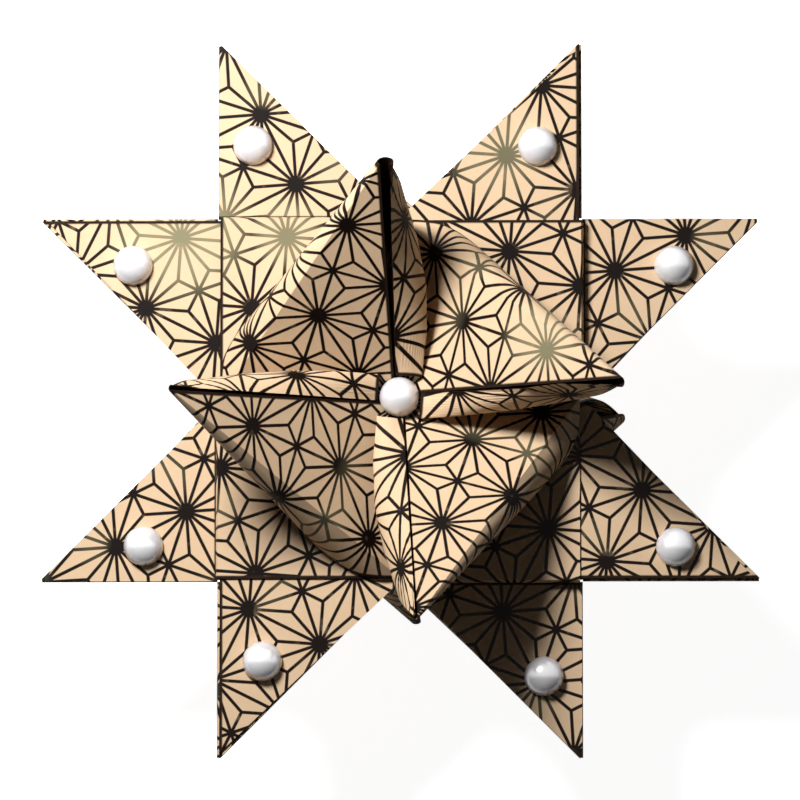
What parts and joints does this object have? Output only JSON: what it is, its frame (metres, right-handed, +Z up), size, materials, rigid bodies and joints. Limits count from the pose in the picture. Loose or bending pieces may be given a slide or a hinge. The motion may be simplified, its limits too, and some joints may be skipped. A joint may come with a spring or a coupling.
{
  "type": "woven paper star",
  "caption": "Folded and woven star of printed kraft paper strips, with a rolled cone over each seam on both faces and glued half-pearls.",
  "frame": {"origin": "centre of the star's footprint, at the height of the lowest back cone tip; the star rests on its back cones", "axes": "+Z up through the star's centre toward the face with the half-pearls; X and Y along the woven strips, +Y toward the top of the picture"},
  "size_m": [0.099, 0.099, 0.0536],
  "materials": {
    "printed_paper": "matt kraft paper with a dark geometric print",
    "pearl": "white pearl gloss"
  },
  "bodies": {
    "root": {"paper_strip_left": "printed_paper", "paper_strip_top": "printed_paper", "paper_strip_right": "printed_paper", "paper_strip_bottom": "printed_paper", "half_pearl_centre": "pearl", "half_pearl_bottom_left": "pearl", "half_pearl_top_left": "pearl", "half_pearl_left_upper": "pearl", "half_pearl_right_upper": "pearl", "half_pearl_top_right": "pearl", "half_pearl_bottom_right": "pearl", "half_pearl_right_lower": "pearl", "half_pearl_left_lower": "pearl"}
  },
  "joints": []
}
